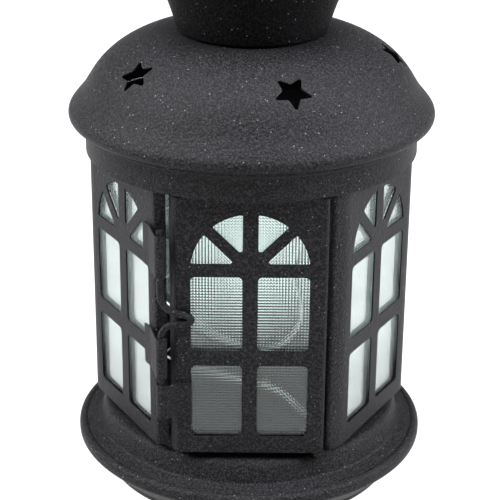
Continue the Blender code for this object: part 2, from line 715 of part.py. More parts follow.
LEDS = (26, 43, 61, 78, 96, 113, 130, 148)      # points along the string that carry a light


def smooth_route(points, count):
    """Evenly spread points on a centripetal curve through the given ones."""
    given = np.array(points, float)
    padded = np.vstack([2 * given[0] - given[1], given, 2 * given[-1] - given[-2]])
    fine = []
    for k in range(1, len(padded) - 2):
        p0, p1, p2, p3 = padded[k - 1: k + 3]
        for t in np.linspace(0, 1, 24, endpoint=False):
            fine.append(0.5 * (2 * p1 + (p2 - p0) * t + (2 * p0 - 5 * p1 + 4 * p2 - p3) * t ** 2
                               + (3 * p1 - p0 - 3 * p2 + p3) * t ** 3))
    fine = np.array(fine + [given[-1]])
    along = np.concatenate([[0], np.cumsum(np.linalg.norm(np.diff(fine, axis=0), axis=1))])
    even = np.linspace(0, along[-1], count)
    return np.stack([np.interp(even, along, fine[:, i]) for i in range(3)], axis=1)


def build_light_string():
    route = smooth_route(LED_ROUTE, LED_POINTS)
    curve = bpy.data.curves.new("led_cable", "CURVE")
    curve.dimensions = "3D"
    curve.bevel_depth = LED_WIRE_R * MM
    curve.bevel_resolution = 2
    curve.use_fill_caps = True
    spline = curve.splines.new("POLY")
    spline.points.add(len(route) - 1)
    for point, place in zip(spline.points, route):
        point.co = (*(place * MM), 1.0)
    cable = bpy.data.objects.new("led_cable", curve)
    PARTS.objects.link(cable)
    curve.materials.append(MATERIALS["silver_wire"])
    for number, index in enumerate(LEDS, 1):
        inward = -route[index] * (1, 1, 0)
        inward /= np.linalg.norm(inward)
        place = route[index] + inward * (BEAD_R + LED_WIRE_R + GAP)
        work = bmesh.new()
        bmesh.ops.create_uvsphere(work, u_segments=8, v_segments=6, radius=BEAD_R * MM)
        mesh = bpy.data.meshes.new(f"led_bead_{number}")
        work.to_mesh(mesh)
        work.free()
        bead = add_object(f"led_bead_{number}", mesh, "led_resin")
        bead.location = tuple(place * MM)


def main():
    build_base()
    build_floor_tray()
    build_top_ring()
    build_body_shell()
    build_fixed_windows()
    build_door()
    build_hinges()
    build_knuckles()
    build_latch_tab()
    build_latch_wire()
    build_roof()
    build_cup()
    build_solar_unit()
    build_battery()
    build_battery_cover()
    build_switch()
    build_light_string()


main()
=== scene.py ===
"""Looks of the solar garden lantern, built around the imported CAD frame.

Metres, +Z up, door on -Y.
"""
import math

import bmesh
import bpy
import numpy as np
from mathutils import Matrix, Vector
from mathutils.geometry import delaunay_2d_cdt


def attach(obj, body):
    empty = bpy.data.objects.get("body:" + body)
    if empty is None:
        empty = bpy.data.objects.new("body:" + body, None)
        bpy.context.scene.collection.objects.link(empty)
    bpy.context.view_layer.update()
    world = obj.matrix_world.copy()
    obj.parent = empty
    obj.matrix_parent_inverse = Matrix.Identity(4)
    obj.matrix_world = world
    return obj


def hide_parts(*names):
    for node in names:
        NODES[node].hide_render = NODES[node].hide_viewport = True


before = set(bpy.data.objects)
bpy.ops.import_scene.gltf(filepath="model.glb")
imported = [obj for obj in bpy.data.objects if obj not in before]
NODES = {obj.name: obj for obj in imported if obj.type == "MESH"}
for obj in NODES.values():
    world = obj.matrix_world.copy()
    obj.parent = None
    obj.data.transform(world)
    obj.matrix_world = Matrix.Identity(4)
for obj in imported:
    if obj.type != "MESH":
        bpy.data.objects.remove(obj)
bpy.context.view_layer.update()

MM = 0.001

# ---------------------------------------------------------------- dimensions (mm), as in the CAD
SHEET = 0.6
GAP = 0.3
ROUND_STEPS = 160
BODY_APOTHEM = 56.0
CORNER_R = 14.0
BODY_BOTTOM, BODY_TOP = 29.7, 136.0
PANE_HALF, BAR_HALF, SPOKE_HALF = 21.75, 2.8, 2.1
LOWER_PANES = (36.6, 66.5)
MIDDLE_PANES = (72.6, 102.4)
FAN_SPRING, FAN_CENTRE = 107.5, 105.1
PANE_CORNER_R = 1.8
DOOR_FACE, DOOR_TOP = 57.0, 133.1
HINGE_X, HINGE_ROLL_R, DOOR_LEFT_X = 26.6, 1.4, -26.3
GLASS_T, GLASS_HALF, GLASS_BOTTOM, GLASS_TOP = 1.6, 24.0, 33.0, 130.0
LATCH_X, LATCH_Y = -32.6, -58.4
STRAP, ROLL_R, WIRE_R = 0.5, 1.85, 1.25
UPPER_KNUCKLE, LOWER_KNUCKLE, TAB_HEIGHTS = (102.9, 119.5), (62.2, 78.5), (46.0, 59.5)
ROOF_R, ROOF_RIM_Z = 70.0, 148.8
SKIRT_R, SKIRT_BOTTOM = 63.8, 134.0
STAR_R, STAR_INNER, STAR_TIP = 7.9, 0.47, 0.7
STAR_PLACE_R, STAR_PLACE_Z = 53.4, 170.7
STAR_SLOPE = math.radians(35.0)
STAR_AZIMUTHS = (15.5, 87.5, 160.0, 233.0, 308.5)
CUP_TOP, CUP_BOTTOM, CUP_RIVET_X = 203.0, 180.0, 24.9
LED_WIRE_R, BEAD_R = 0.45, 1.2
LED_ROUTE = [
    (0, -14, 181.2), (0.5, -14.6, 172), (3, -18, 160), (9, -26, 146), (19, -32, 134),
    (31, -30, 124), (41, -16, 118), (44, 2, 113), (38, 22, 110), (22, 38, 107), (2, 44, 103),
    (-20, 40, 99), (-37, 25, 95), (-45, 4, 91), (-41, -18, 86), (-29, -36, 80), (-12, -46, 73),
    (2, -49, 70), (10.5, -49.5, 71.3), (16.2, -49.5, 76), (19.2, -49.5, 83), (18.8, -49.5, 90),
    (16.6, -48.8, 97.5), (17, -45, 104.5), (24, -37, 109), (36, -22, 106), (43, 0, 98),
    (38, 22, 90), (22, 38, 83), (0, 44, 77), (-22, 38, 70), (-38, 20, 65), (-44, -2, 61),
    (-39, -22, 58), (-26, -37, 57), (-10, -46.5, 57), (4, -49.5, 55.2), (13, -49.5, 51.2),
    (21.5, -48, 42.6), (31, -38, 38), (40, -20, 37), (43, 0, 37), (37, 22, 36), (20, 38, 34),
    (-2, 43, 33.5), (-24, 36, 33), (-38, 18, 32), (-40, 2, 31),
]
LED_POINTS = 597
LEDS = (104, 172, 244, 312, 384, 452, 520, 592)

# glass relief
RELIEF_PITCH = 1.15
RELIEF_DEPTH = 0.21
RELIEF_CUTS = 4


# ---------------------------------------------------------------- node-tree helper
class Tree:
    """Adds nodes to a material by type, with sockets set by name, and links them."""

    def __init__(self, name):
        self.material = bpy.data.materials.new(name)
        self.material.use_nodes = True
        self.tree = self.material.node_tree
        self.shader = self.tree.nodes["Principled BSDF"]
        self.place = self.tree.nodes.new("ShaderNodeTexCoord").outputs["Object"]

    def add(self, kind, settings=(), **sockets):
        node = self.tree.nodes.new("ShaderNode" + kind)
        for key, value in dict(settings).items():
            setattr(node, key, value)
        for key, value in sockets.items():
            socket = node.inputs[int(key[1:])] if key[0] == "i" and key[1:].isdigit() \
                else node.inputs[key.replace("_", " ")]
            self.set(socket, value)
        return node

    def set(self, socket, value):
        if isinstance(value, bpy.types.NodeSocket):
            self.tree.links.new(value, socket)
        else:
            socket.default_value = value

    def noise(self, scale, detail=2.0, roughness=0.5, place=None, distortion=0.0):
        node = self.add("TexNoise", Vector=place or self.place, Scale=scale, Detail=detail,
                        Roughness=roughness, Distortion=distortion)
        return node.outputs[0]

    def ramp(self, value, low, high, to_low=0.0, to_high=1.0):
        node = self.add("MapRange", Value=value, From_Min=low, From_Max=high,
                        To_Min=to_low, To_Max=to_high)
        return node.outputs[0]

    def maths(self, operation, a, b=0.0, c=0.0):
        return self.add("Math", {"operation": operation}, i0=a, i1=b, i2=c).outputs[0]

    def mix(self, factor, a, b):
        node = self.add("Mix", {"data_type": "RGBA"})
        self.set(node.inputs[0], factor)
        self.set(node.inputs[6], a)
        self.set(node.inputs[7], b)
        return node.outputs[2]

    def bump(self, height, distance, strength=1.0):
        node = self.add("Bump", Height=height, Strength=strength, Distance=distance)
        self.set(self.shader.inputs["Normal"], node.outputs[0])

    def finish(self, **sockets):
        for key, value in sockets.items():
            self.set(self.shader.inputs[key.replace("_", " ")], value)
        return self.material


# ---------------------------------------------------------------- materials
def powder_coat(name, level=0.0055, gloss=0.45, sheen=0.10):
    """Textured black powder coat: fine grain, orange peel, faint clouds and rare bright dots,
    which are painted glints.
    """
    t = Tree(name)
    grain = t.noise(1500.0, 3.0, 0.75)
    peel = t.noise(800.0, 1.0, 0.5)
    cloud = t.noise(45.0, 3.0, 0.55)
    # painted glints: rare bright dots put into the base colour stand in for the coat's sparkle
    # highlights
    glint_cells = t.add("TexVoronoi", Vector=t.place, Scale=1500.0, Randomness=1.0)
    lucky = t.add("SeparateColor", Color=glint_cells.outputs["Color"]).outputs[0]
    painted_glint = t.maths("MULTIPLY", t.maths("GREATER_THAN", lucky, 0.985),
                    t.maths("LESS_THAN", glint_cells.outputs["Distance"], 0.30))
    base = t.mix(t.ramp(cloud, 0.35, 0.68), (level * 0.85, level * 0.80, level * 0.85, 1.0),
                 (level * 1.15, level * 1.10, level * 1.2, 1.0))
    grainy = t.mix(t.ramp(grain, 0.47, 0.60), base, (level * 5.5, level * 5.4, level * 5.8, 1.0))
    # the painted glint colour is mixed over the coat here
    colour = t.mix(painted_glint, grainy, (0.22, 0.22, 0.23, 1.0))
    rough = t.ramp(grain, 0.3, 0.7, gloss - 0.10, gloss + 0.14)
    height = t.maths("MULTIPLY_ADD", peel, 1.2, grain)
    t.bump(height, 0.00030, 0.9)
    t.shader.inputs["Specular IOR Level"].default_value = sheen
    return t.finish(Base_Color=colour, Roughness=rough)


def patterned_glass():
    """Faintly green pressed glass; its relief is in the mesh."""
    t = Tree("patterned_glass")
    ripple = t.noise(260.0, 2.0, 0.5)
    t.bump(ripple, 0.00002, 0.4)
    return t.finish(Base_Color=(0.86, 0.955, 0.925, 1.0), IOR=1.5, Transmission_Weight=1.0,
                    Roughness=t.ramp(ripple, 0.3, 0.7, 0.02, 0.07))


def metal(name, colour, rough, scale=900.0, metallic=1.0):
    """Drawn or plated metal with faint streaks."""
    t = Tree(name)
    streak = t.noise(scale, 3.0, 0.6, distortion=0.4)
    shade = t.mix(t.ramp(streak, 0.3, 0.7), tuple(0.8 * c for c in colour) + (1.0,),
                  tuple(min(1.0, 1.1 * c) for c in colour) + (1.0,))
    t.bump(streak, 0.00002, 0.4)
    return t.finish(Base_Color=shade, Roughness=t.ramp(streak, 0.3, 0.7, rough, rough + 0.14),
                    Metallic=metallic)


def plastic(name, colour, rough, grain=1600.0, depth=0.00005):
    """Moulded plastic with a fine texture."""
    t = Tree(name)
    fine = t.noise(grain, 2.0, 0.55)
    cloud = t.noise(60.0, 2.0, 0.5)
    shade = t.mix(t.ramp(cloud, 0.3, 0.7), tuple(0.85 * c for c in colour) + (1.0,),
                  tuple(min(1.0, 1.15 * c) for c in colour) + (1.0,))
    t.bump(fine, depth, 0.5)
    return t.finish(Base_Color=shade, Roughness=t.ramp(fine, 0.3, 0.7, rough - 0.06, rough + 0.08))


def solar_cell_material():
    """Dark blue cell with crystal grain, fine silver fingers and two wider bus bars."""
    t = Tree("solar_cell")
    split = t.add("SeparateXYZ", Vector=t.place)
    x, y = split.outputs[0], split.outputs[1]

    def lines(coordinate, pitch, share):
        part = t.maths("FRACT", t.maths("DIVIDE", coordinate, pitch))
        return t.maths("LESS_THAN", part, share)

    crystal = t.add("TexVoronoi", Vector=t.place, Scale=260.0)
    tone = t.add("SeparateColor", Color=crystal.outputs["Color"]).outputs[1]
    blue = t.mix(tone, (0.008, 0.014, 0.060, 1.0), (0.016, 0.030, 0.115, 1.0))
    fingers = lines(y, 0.0017, 0.09)
    bars = lines(t.maths("ADD", x, 0.00045), 0.0136, 0.07)
    metalwork = t.maths("MAXIMUM", fingers, bars)
    colour = t.mix(metalwork, blue, (0.55, 0.56, 0.58, 1.0))
    return t.finish(Base_Color=colour, Roughness=t.ramp(metalwork, 0, 1, 0.22, 0.4),
                    Metallic=t.maths("MULTIPLY", metalwork, 0.9), Coat_Weight=0.6)


def clear_cover_material():
    t = Tree("clear_cover")
    haze = t.noise(350.0, 2.0, 0.5)
    t.bump(haze, 0.00001, 0.3)
    return t.finish(Base_Color=(0.93, 0.95, 0.95, 1.0), IOR=1.46, Transmission_Weight=1.0,
                    Roughness=t.ramp(haze, 0.3, 0.7, 0.01, 0.05))


def led_resin_material():
    t = Tree("led_resin")
    swirl = t.noise(900.0, 2.0, 0.5)
    colour = t.mix(t.ramp(swirl, 0.35, 0.65), (0.95, 0.86, 0.55, 1.0), (0.97, 0.95, 0.86, 1.0))
    return t.finish(Base_Color=colour, Transmission_Weight=0.55, IOR=1.5,
                    Roughness=t.ramp(swirl, 0.3, 0.7, 0.08, 0.2))


def board_material():
    """Green solder mask with copper tracks, drawn as lighter green lines."""
    t = Tree("green_board")
    cells = t.add("TexBrick", Vector=t.place, Scale=300.0, Color1=(0.012, 0.075, 0.03, 1.0),
                  Color2=(0.016, 0.095, 0.036, 1.0), Mortar=(0.05, 0.20, 0.07, 1.0))
    rough = t.ramp(t.noise(900.0), 0.3, 0.7, 0.3, 0.5)
    return t.finish(Base_Color=cells.outputs[0], Roughness=rough)


MATERIALS = {
    "black_powder_coat": powder_coat("black_powder_coat"),
    # darker, less glossy copy of the powder coat for the solar cup: partly a matte black finish,
    # partly painted shade for the shade the cup sits in
    "matte_and_shaded_cup_coat": powder_coat("matte_and_shaded_cup_coat", 0.0022, 0.5, 0.035),
    "inside_coat": powder_coat("inside_coat", 0.006, 0.56, 0.12),
    "patterned_glass": patterned_glass(),
    "bright_steel": metal("bright_steel", (0.58, 0.57, 0.55), 0.28),
    "silver_wire": metal("silver_wire", (0.80, 0.80, 0.78), 0.22, 1800.0),
    "black_plastic": plastic("black_plastic", (0.022, 0.022, 0.024), 0.45),
    "rubber": plastic("rubber", (0.018, 0.018, 0.018), 0.75, 1100.0, 0.00008),
    "battery_wrap": plastic("battery_wrap", (0.05, 0.22, 0.10), 0.3, 500.0, 0.00002),
    "solar_cell": solar_cell_material(),
    "clear_cover": clear_cover_material(),
    "led_resin": led_resin_material(),
    "green_board": board_material(),
}


# ---------------------------------------------------------------- piece helpers
def add_piece(name, mesh, material, body="lantern", replaces=(), smooth=32.0):
    """A finished piece: named, painted, riding on its body, standing for its CAD nodes."""
    piece = bpy.data.objects.new(name, mesh)
    bpy.context.scene.collection.objects.link(piece)
    mesh.materials.clear()
    mesh.materials.append(MATERIALS[material])
    if isinstance(mesh, bpy.types.Mesh):
        mesh.shade_smooth()
        mesh.set_sharp_from_angle(angle=math.radians(smooth))
    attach(piece, body)
    if replaces:
        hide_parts(*replaces)
    return piece


def bake_down(piece):
    """The piece's modifiers, applied to its mesh."""
    bpy.context.view_layer.update()
    evaluated = piece.evaluated_get(bpy.context.evaluated_depsgraph_get())
    mesh = bpy.data.meshes.new_from_object(evaluated)
    piece.modifiers.clear()
    piece.data = mesh


def carve(piece, cutters):
    """Cuts the meshes out of the piece, then removes the cutters."""
    helpers = []
    for mesh in cutters:
        helper = bpy.data.objects.new("cutter", mesh)
        bpy.context.scene.collection.objects.link(helper)
        modifier = piece.modifiers.new("cut", "BOOLEAN")
        modifier.solver = "EXACT"
        modifier.object = helper
        helpers.append(helper)
    bake_down(piece)
    for helper in helpers:
        bpy.data.objects.remove(helper)
    piece.data.shade_smooth()
    piece.data.set_sharp_from_angle(angle=math.radians(32))


def lathe(profile, steps=ROUND_STEPS, centre=(0.0, 0.0)):
    """A mesh turned about an upright axis from a closed (radius, height) outline."""
    following = profile[1:] + profile[:1]
    doubled = sum(r0 * z1 - r1 * z0 for (r0, z0), (r1, z1) in zip(profile, following))
    if doubled > 0:
        profile = profile[::-1]
    angles = np.linspace(0, 2 * math.pi, steps, endpoint=False)
    verts, rings = [], []
    for r, z in profile:
        if r < 1e-6:
            rings.append([len(verts)] * steps)
            verts.append((centre[0] * MM, centre[1] * MM, z * MM))
        else:
            rings.append(list(range(len(verts), len(verts) + steps)))
            verts += [((centre[0] + r * math.cos(a)) * MM, (centre[1] + r * math.sin(a)) * MM,
                       z * MM) for a in angles]
    faces = []
    for upper, lower in zip(rings, rings[1:] + rings[:1]):
        for i in range(steps):
            j = (i + 1) % steps
            loop = []
            for v in (upper[i], lower[i], lower[j], upper[j]):
                if v not in loop:
                    loop.append(v)
            if len(loop) > 2:
                faces.append(loop)
    mesh = bpy.data.meshes.new("lathe")
    mesh.from_pydata(verts, [], faces)
    work = bmesh.new()
    work.from_mesh(mesh)
    bmesh.ops.recalc_face_normals(work, faces=work.faces)
    work.to_mesh(mesh)
    work.free()
    return mesh


def flowing(points, per=4):
    """A centripetal curve through the points."""
    given = np.array(points, float)
    padded = np.vstack([2 * given[0] - given[1], given, 2 * given[-1] - given[-2]])
    steps = np.linalg.norm(np.diff(padded, axis=0), axis=1) ** 0.5
    knots = np.concatenate([[0], np.cumsum(steps)])
    fine = []
    for k in range(1, len(padded) - 2):
        t0, t1, t2, t3 = knots[k - 1: k + 3]
        p0, p1, p2, p3 = padded[k - 1: k + 3]
        for t in np.linspace(t1, t2, per, endpoint=False):
            a1 = (t1 - t) / (t1 - t0) * p0 + (t - t0) / (t1 - t0) * p1
            a2 = (t2 - t) / (t2 - t1) * p1 + (t - t1) / (t2 - t1) * p2
            a3 = (t3 - t) / (t3 - t2) * p2 + (t - t2) / (t3 - t2) * p3
            b1 = (t2 - t) / (t2 - t0) * a1 + (t - t0) / (t2 - t0) * a2
            b2 = (t3 - t) / (t3 - t1) * a2 + (t - t1) / (t3 - t1) * a3
            fine.append(tuple((t2 - t) / (t2 - t1) * b1 + (t - t1) / (t2 - t1) * b2))
    return fine + [tuple(given[-1])]


def filleted(corners, steps=6):
    """A path through (x, y, radius) corners, each turned by an arc of its radius."""
    path = [corners[0][:2]]
    for before, here, after in zip(corners, corners[1:], corners[2:]):
        corner = Vector(here[:2])
        a = (Vector(before[:2]) - corner).normalized()
        b = (Vector(after[:2]) - corner).normalized()
        half = a.angle(b) / 2
        if here[2] == 0 or half > math.radians(88):
            path.append(tuple(corner))
            continue
        centre = corner + (a + b).normalized() * here[2] / math.sin(half)
        first = corner + a * here[2] / math.tan(half) - centre
        last = corner + b * here[2] / math.tan(half) - centre
        for k in range(steps + 1):
            spoke = first.slerp(last, k / steps).normalized() * here[2]
            path.append(tuple(centre + spoke))
    return path + [corners[-1][:2]]


def shell(outer, thickness=SHEET):
    """The closed profile of a sheet whose outer face follows the points, from top to bottom."""
    inner = []
    for i, (r, z) in enumerate(outer):
        ahead, behind = outer[min(i + 1, len(outer) - 1)], outer[max(i - 1, 0)]
        along = (Vector(ahead) - Vector(behind)).normalized()
        inner.append((max(r + along[1] * thickness, 0.0), z - along[0] * thickness))
    if outer[0][0] == 0.0:
        inner[0] = (0.0, outer[0][1] - thickness)
    return list(outer) + inner[::-1]


# ---------------------------------------------------------------- outlines and folded sheet
def arc_points(centre, radius, start, end, count):
    return [
        (centre[0] + radius * math.cos(a), centre[1] + radius * math.sin(a))
        for a in np.radians(np.linspace(start, end, count))
    ]


def closed_fillet(corners, radius, steps=5):
    """A closed outline with every corner rounded."""
    middle = tuple((Vector(corners[-1]) + Vector(corners[0])) / 2)
    path = filleted([(*middle, 0), *[(*c, radius) for c in corners], (*middle, 0)], steps)
    return path[:-1]


def fan_sector(start, end):
    """One opening of the round fan, between two spokes at start and end degrees."""
    low, high = math.radians(start), math.radians(end)
    sill = FAN_SPRING - FAN_CENTRE
    low_bar = {0: sill, 90: BAR_HALF}.get(start, SPOKE_HALF)
    high_bar = {180: sill, 90: BAR_HALF}.get(end, SPOKE_HALF)
    lines = np.array([[-math.sin(low), math.cos(low)], [-math.sin(high), math.cos(high)]])
    inner = tuple(np.linalg.solve(lines, [low_bar, -high_bar]))
    first = start + math.degrees(math.asin(low_bar / PANE_HALF))
    last = end - math.degrees(math.asin(high_bar / PANE_HALF))
    rim = arc_points((0.0, 0.0), PANE_HALF, first, last, 17)
    corners = [(*inner, 0.9), (*rim[0], 0.6), *[(*p, 0) for p in rim[1:-1]], (*rim[-1], 0.6)]
    middle = tuple((Vector(inner) + Vector(rim[-1])) / 2)
    path = filleted([(*middle, 0), *corners, (*middle, 0)], 4)[:-1]
    return [(x, y + FAN_CENTRE) for x, y in path]


def window_outlines():
    openings = []
    for low, high in (LOWER_PANES, MIDDLE_PANES):
        for side in (-1, 1):
            left, right = sorted((side * BAR_HALF, side * PANE_HALF))
            openings.append(closed_fillet([(left, low), (right, low), (right, high), (left, high)],
                                          PANE_CORNER_R))
    return openings + [fan_sector(start, start + 45) for start in (0, 45, 90, 135)]


def flat_mesh(outlines, thickness):
    """A closed plate in the XY plane from closed outlines, the first being its edge."""
    points, loops = [], []
    for outline in outlines:
        loops.append(list(range(len(points), len(points) + len(outline))))
        points += [Vector(p) for p in outline]
    inside_with_holes = 2  # triangles inside the edge, with the openings left out
    flat, _, faces, *_ = delaunay_2d_cdt(points, [], loops, inside_with_holes, 1e-6)
    total, half = len(flat), thickness / 2
    verts = [(x * MM, y * MM, z * MM) for z in (-half, half) for x, y in flat]
    steps = {(face[k - 1], face[k]) for face in faces for k in range(len(face))}
    sides = [(i, j, j + total, i + total) for i, j in sorted(steps) if (j, i) not in steps]
    tops = [tuple(i + total for i in face) for face in faces]
    mesh = bpy.data.meshes.new("flat")
    mesh.from_pydata(verts, [], tops + [tuple(face)[::-1] for face in faces] + sides)
    return mesh


class PlanPath:
    """The plan of a folded sheet: runs ("line", length) and bends ("bend", radius, degrees)."""

    def __init__(self, runs, anchor, point, heading):
        self.pieces, self.breaks = [], [0.0]
        place, angle = Vector((0.0, 0.0)), 0.0
        for run in runs:
            length = run[1] if run[0] == "line" else run[1] * math.radians(abs(run[2]))
            bend = 0.0 if run[0] == "line" else math.copysign(1.0 / run[1], run[2])
            self.pieces.append((self.breaks[-1], length, bend, place.copy(), angle))
            place, angle = self.step(place, angle, bend, length)
            self.breaks.append(self.breaks[-1] + length)
        self.turn, self.shift = 0.0, Vector((0.0, 0.0))
        self.turn = math.radians(heading) - self.locate(anchor)[1]
        self.shift = Vector(point) - self.locate(anchor)[0]

    @staticmethod
    def step(place, angle, bend, length):
        if bend == 0.0:
            return place + Vector((math.cos(angle), math.sin(angle))) * length, angle
        after = angle + bend * length
        move = Vector((math.sin(after) - math.sin(angle), math.cos(angle) - math.cos(after)))
        return place + move / bend, after

    def locate(self, s):
        chosen = self.pieces[0]
        for piece in self.pieces:
            if s >= piece[0] - 1e-9:
                chosen = piece
        start, _, bend, place, angle = chosen
        place, angle = self.step(place, angle, bend, s - start)
        return Matrix.Rotation(self.turn, 2) @ place + self.shift, angle + self.turn

    def fold_lines(self, degrees):
        lines = []
        for start, length, bend, _, _ in self.pieces:
            if bend:
                steps = max(1, math.ceil(math.degrees(abs(bend) * length) / degrees))
                lines += list(np.linspace(start, start + length, steps + 1))
        ends = (self.breaks[0], self.breaks[-1])
        return sorted({round(s, 6) for s in lines if min(abs(s - e) for e in ends) > 1e-4})


def folded_mesh(path, low, high, openings=(), thickness=SHEET, degrees=5.0, corner=0.0):
    """A sheet cut flat with its openings, then folded along the path."""
    length = path.breaks[-1]
    edge = [(0, low), (length, low), (length, high), (0, high)]
    if corner:
        edge = closed_fillet(edge, corner, 3)
    mesh = flat_mesh([edge, *openings], thickness)
    work = bmesh.new()
    work.from_mesh(mesh)
    for s in path.fold_lines(degrees):
        bmesh.ops.bisect_plane(work, geom=work.verts[:] + work.edges[:] + work.faces[:],
                               dist=1e-7, plane_co=(s * MM, 0, 0), plane_no=(1, 0, 0))
    for vertex in work.verts:
        s, height, offset = (value / MM for value in vertex.co)
        place, angle = path.locate(min(max(s, 0.0), length))
        place = place + Vector((-math.sin(angle), math.cos(angle))) * offset
        vertex.co = (place.x * MM, place.y * MM, height * MM)
    bmesh.ops.recalc_face_normals(work, faces=work.faces)
    work.to_mesh(mesh)
    work.free()
    return mesh


# ---------------------------------------------------------------- camera, first
def build_camera():
    """The viewing angle: a long lens from the front, 23 degrees above the horizon."""
    elevation, roll = math.radians(22.99), math.radians(-0.507)
    target = Vector((-0.2, 0.0, 89.07)) * MM
    back = Vector((0, -math.cos(elevation), math.sin(elevation)))
    right = Vector((1, 0, 0))
    up = back.cross(right)
    turned_right = right * math.cos(roll) - up * math.sin(roll)
    turned_up = right * math.sin(roll) + up * math.cos(roll)
    camera = bpy.data.objects.new("camera", bpy.data.cameras.new("camera"))
    bpy.context.scene.collection.objects.link(camera)
    camera.data.sensor_width = 36.0
    camera.data.lens = 1596.5 / 500 * 36.0
    camera.data.clip_start, camera.data.clip_end = 0.01, 20.0
    matrix = Matrix((turned_right, turned_up, back)).transposed().to_4x4()
    matrix.translation = target + back * 635.74 * MM
    camera.matrix_world = matrix
    bpy.context.scene.camera = camera


# ---------------------------------------------------------------- light string
def smooth_route(points, count):
    """Evenly spread points on a curve through the given ones, as in the CAD."""
    given = np.array(points, float)
    padded = np.vstack([2 * given[0] - given[1], given, 2 * given[-1] - given[-2]])
    fine = []
    for k in range(1, len(padded) - 2):
        p0, p1, p2, p3 = padded[k - 1: k + 3]
        for t in np.linspace(0, 1, 24, endpoint=False):
            fine.append(0.5 * (2 * p1 + (p2 - p0) * t + (2 * p0 - 5 * p1 + 4 * p2 - p3) * t ** 2
                               + (3 * p1 - p0 - 3 * p2 + p3) * t ** 3))
    fine = np.array(fine + [given[-1]])
    along = np.concatenate([[0], np.cumsum(np.linalg.norm(np.diff(fine, axis=0), axis=1))])
    even = np.linspace(0, along[-1], count)
    return np.stack([np.interp(even, along, fine[:, i]) for i in range(3)], axis=1), along[-1]


def wire_curve(name, points, radius, resolution=4):
    curve = bpy.data.curves.new(name, "CURVE")
    curve.dimensions = "3D"
    curve.bevel_depth = radius * MM
    curve.bevel_resolution = resolution
    curve.use_fill_caps = True
    spline = curve.splines.new("POLY")
    spline.points.add(len(points) - 1)
    for point, place in zip(spline.points, points):
        point.co = (place[0] * MM, place[1] * MM, place[2] * MM, 1.0)
    return curve


def build_light_string():
    """The silver string on its course, with a resin drop round each light."""
    route, _ = smooth_route(LED_ROUTE, LED_POINTS)
    cable = add_piece("led_string", wire_curve("led_string", route, LED_WIRE_R, 3), "silver_wire",
                      replaces=("led_cable",))
    for number, index in enumerate(LEDS, 1):
        inward = -route[index] * (1, 1, 0)
        inward /= np.linalg.norm(inward)
        place = route[index] + inward * (BEAD_R + LED_WIRE_R + GAP)
        along = Vector(route[index + 1] - route[index - 1]).normalized()
        work = bmesh.new()
        bmesh.ops.create_icosphere(work, subdivisions=4, radius=1.0)
        spin = along.to_track_quat("X", "Z").to_matrix().to_4x4()
        scale = Matrix.Diagonal((BEAD_R * 1.0, BEAD_R * 0.86, BEAD_R * 0.8, 1.0))
        bmesh.ops.transform(work, verts=work.verts, matrix=Matrix.Scale(MM, 4) @
                            Matrix.Translation(Vector(place)) @ spin @ scale)
        mesh = bpy.data.meshes.new(f"led_drop_{number}")
        work.to_mesh(mesh)
        work.free()
        add_piece(f"led_drop_{number}", mesh, "led_resin",
                               replaces=(f"led_bead_{number}",))


# ---------------------------------------------------------------- base and roof
def build_base():
    outer = filleted([
        (0.0, 26.5, 0), (58.9, 26.5, 3.0), (61.3, 18.2, 1.6), (66.6, 17.0, 0.4), (67.5, 17.5, 0.5),
        (70.0, 17.4, 2.3), (70.0, 13.0, 2.2), (59.2, 2.4, 1.2), (58.4, 0.0, 0.5), (54.0, 0.0, 0),
    ], 7)
    add_piece("base_pan_visual", lathe(shell(outer, 0.8)), "black_powder_coat",
              replaces=("base_pan",))


def star_outline(radius):
    corners = []
    for k in range(10):
        reach = radius if k % 2 == 0 else STAR_INNER * radius
        angle = math.radians(90 + 36 * k)
        corners.append((reach * math.cos(angle), reach * math.sin(angle)))
    return closed_fillet(corners, STAR_TIP, 4)


def star_meshes():
    cutters = []
    for azimuth in STAR_AZIMUTHS:
        mesh = flat_mesh([star_outline(STAR_R)], 9.0)
        tilt = Matrix.Rotation(STAR_SLOPE, 4, "X") @ Matrix.Rotation(math.pi, 4, "Z")
        place = Matrix.Translation((0, -STAR_PLACE_R * MM, STAR_PLACE_Z * MM))
        mesh.transform(Matrix.Rotation(math.radians(azimuth), 4, "Z") @ place @ tilt)
        cutters.append(mesh)
    return cutters


def rivet_hole(side):
    return lathe([(0, 184), (1.3, 184), (1.3, 174), (0, 174)], 24, (side * CUP_RIVET_X, 0.0))


def build_roof():
    outer = flowing([
        (22.0, 179.6), (29.0, 179.4), (34.5, 178.9), (40.3, 177.5), (46.7, 174.9), (51.7, 171.95),
        (55.5, 168.95), (58.4, 166.0), (60.7, 163.0), (62.6, 160.0), (64.5, 157.0), (66.6, 154.4),
        (68.5, 152.1), (69.6, 150.5), (ROOF_R, ROOF_RIM_Z), (69.5, 147.1), (68.3, 146.2),
        (66.4, 146.0), (64.9, 146.0),
    ], 4)
    dome = add_piece("roof_dome_visual", lathe(shell(outer)), "black_powder_coat",
                     replaces=("roof_dome",))
    carve(dome, star_meshes() + [rivet_hole(side) for side in (-1, 1)])
    skirt = filleted([
        (61.6, 145.9, 0), (65.6, 145.9, 0.7), (65.6, 144.0, 0.7), (SKIRT_R, 143.2, 0.8),
        (SKIRT_R, SKIRT_BOTTOM, 0),
    ], 5)
    add_piece("roof_skirt_visual", lathe(shell(skirt)), "black_powder_coat",
              replaces=("roof_skirt",))
    low = BODY_TOP + GAP
    ring = [(46.0, low - 4.0), (46.0, low + 0.8), (62.9, low + 0.8), (62.9, low), (46.8, low),
            (46.8, low - 4.0)]
    add_piece("top_ring_visual", lathe(ring), "inside_coat", replaces=("body_top_ring",))


